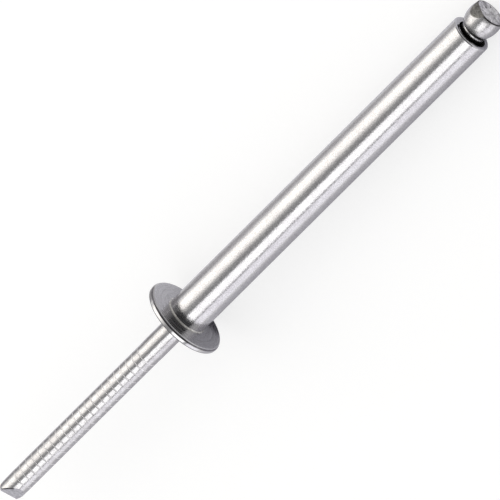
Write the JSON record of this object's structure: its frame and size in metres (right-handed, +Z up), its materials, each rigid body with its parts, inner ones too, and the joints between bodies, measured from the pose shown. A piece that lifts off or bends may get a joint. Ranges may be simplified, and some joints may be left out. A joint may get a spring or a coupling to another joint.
{
  "type": "pop rivet",
  "caption": "Long blind rivet with a domed flange, a plain tubular sleeve, and a ringed pulling mandrel that ends in a bulging head.",
  "frame": {"origin": "centre of the flange's bearing face, on the rivet's axis", "axes": "+Z up; +X along the lying rivet towards the mandrel's head, from which the rivet's own axis dips by the angle at which the flange's rim and the sleeve's open end rest on a table"},
  "size_m": [0.0854, 0.0102, 0.0102],
  "materials": {
    "sleeve_steel": "tumbled bright stainless steel, fine satin",
    "mandrel_steel": "drawn stainless steel wire, bright, with rolled rings and a pressed head"
  },
  "bodies": {
    "root": {"rivet_body": "sleeve_steel", "mandrel": "mandrel_steel"}
  },
  "joints": []
}
